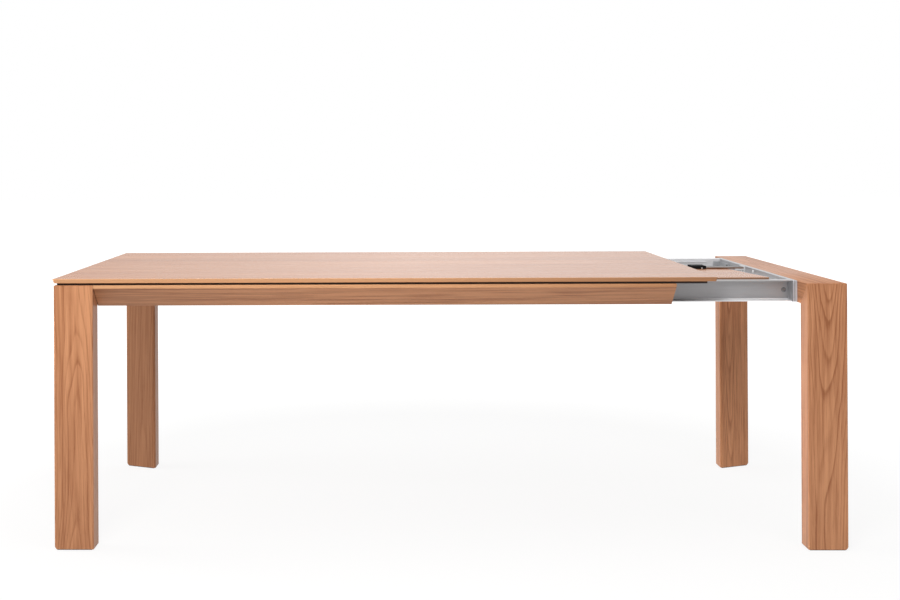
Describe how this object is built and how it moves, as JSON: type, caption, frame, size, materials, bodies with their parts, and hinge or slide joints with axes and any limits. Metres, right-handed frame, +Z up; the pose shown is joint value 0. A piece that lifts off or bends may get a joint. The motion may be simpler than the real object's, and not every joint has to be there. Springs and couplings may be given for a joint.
{
  "type": "extending dining table",
  "caption": "Wooden dining table with wedge-section legs and bevelled aprons; one end frame draws out on aluminium channels to take a stored leaf.",
  "frame": {"origin": "on the floor, at the middle of the box around the table with its end drawn out", "axes": "+X along the table towards the end that draws out, +Z up"},
  "size_m": [2.214, 1, 0.76],
  "materials": {
    "oak_top": "satin oiled",
    "oak_leaf": "satin oiled",
    "oak_frame": "satin oiled",
    "inner_wood": "planed",
    "aluminium": "satin anodised",
    "grey_plastic": "matt",
    "zinc_steel": "zinc plated",
    "screw_steel": "bright plated",
    "black_plastic": "matt moulded",
    "nylon": "matt moulded"
  },
  "bodies": {
    "main": {"tabletop": "oak_top", "strip_front": "inner_wood", "strip_rear": "inner_wood", "apron_front": "oak_frame", "apron_rear": "oak_frame", "fixed_leg_front": "oak_frame", "fixed_leg_rear": "oak_frame", "fixed_rail": "oak_frame", "fixed_tongues": "inner_wood", "fixed_glides": "black_plastic", "corner_blocks": "inner_wood", "bearer": "inner_wood", "bearer_dowels": "inner_wood", "bar_guide": "black_plastic", "guide_screws": "screw_steel", "top_screws": "screw_steel", "axles": "screw_steel"},
    "drawn_end": {"drawn_leg_front": "oak_frame", "drawn_leg_rear": "oak_frame", "drawn_rail": "oak_frame", "drawn_tongues": "inner_wood", "drawn_glides": "black_plastic", "cross_profile": "aluminium", "profile_caps": "grey_plastic", "profile_bolts": "screw_steel", "channel_front": "aluminium", "channel_rear": "aluminium", "channel_plugs": "black_plastic", "corner_angle_front": "zinc_steel", "corner_angle_rear": "zinc_steel", "angle_screws": "screw_steel", "strap_outer": "aluminium", "strap_inner": "aluminium", "strap_screws": "screw_steel", "leaf": "oak_leaf", "leaf_rests": "inner_wood", "rest_screws": "screw_steel", "keeper_bar": "aluminium", "bar_angle": "zinc_steel", "bar_screws": "screw_steel", "bar_block": "black_plastic", "block_screw": "screw_steel"},
    "roller_outer_front": {"roller_outer_front": "nylon"},
    "roller_outer_rear": {"roller_outer_rear": "nylon"},
    "roller_inner_front": {"roller_inner_front": "nylon"},
    "roller_inner_rear": {"roller_inner_rear": "nylon"}
  },
  "joints": [
    {"name": "end_pull", "type": "slide", "parent": "main", "child": "drawn_end", "axis": [1, 0, 0], "range_m": [-0.36, 0.14]},
    {"name": "roller_outer_front_spin", "type": "hinge", "parent": "main", "child": "roller_outer_front", "pos_m": [0.589, -0.39, 0.7115], "axis": [0, 1, 0], "continuous": true},
    {"name": "roller_outer_rear_spin", "type": "hinge", "parent": "main", "child": "roller_outer_rear", "pos_m": [0.589, 0.39, 0.7115], "axis": [0, 1, 0], "continuous": true},
    {"name": "roller_inner_front_spin", "type": "hinge", "parent": "main", "child": "roller_inner_front", "pos_m": [0.0682, -0.39, 0.7115], "axis": [0, 1, 0], "continuous": true},
    {"name": "roller_inner_rear_spin", "type": "hinge", "parent": "main", "child": "roller_inner_rear", "pos_m": [0.0682, 0.39, 0.7115], "axis": [0, 1, 0], "continuous": true}
  ],
  "couplings": [
    {"joint": "roller_outer_front_spin", "follows": "end_pull", "rad_per_m": -37.453},
    {"joint": "roller_outer_rear_spin", "follows": "end_pull", "rad_per_m": -37.453},
    {"joint": "roller_inner_front_spin", "follows": "end_pull", "rad_per_m": 37.453},
    {"joint": "roller_inner_rear_spin", "follows": "end_pull", "rad_per_m": 37.453}
  ]
}
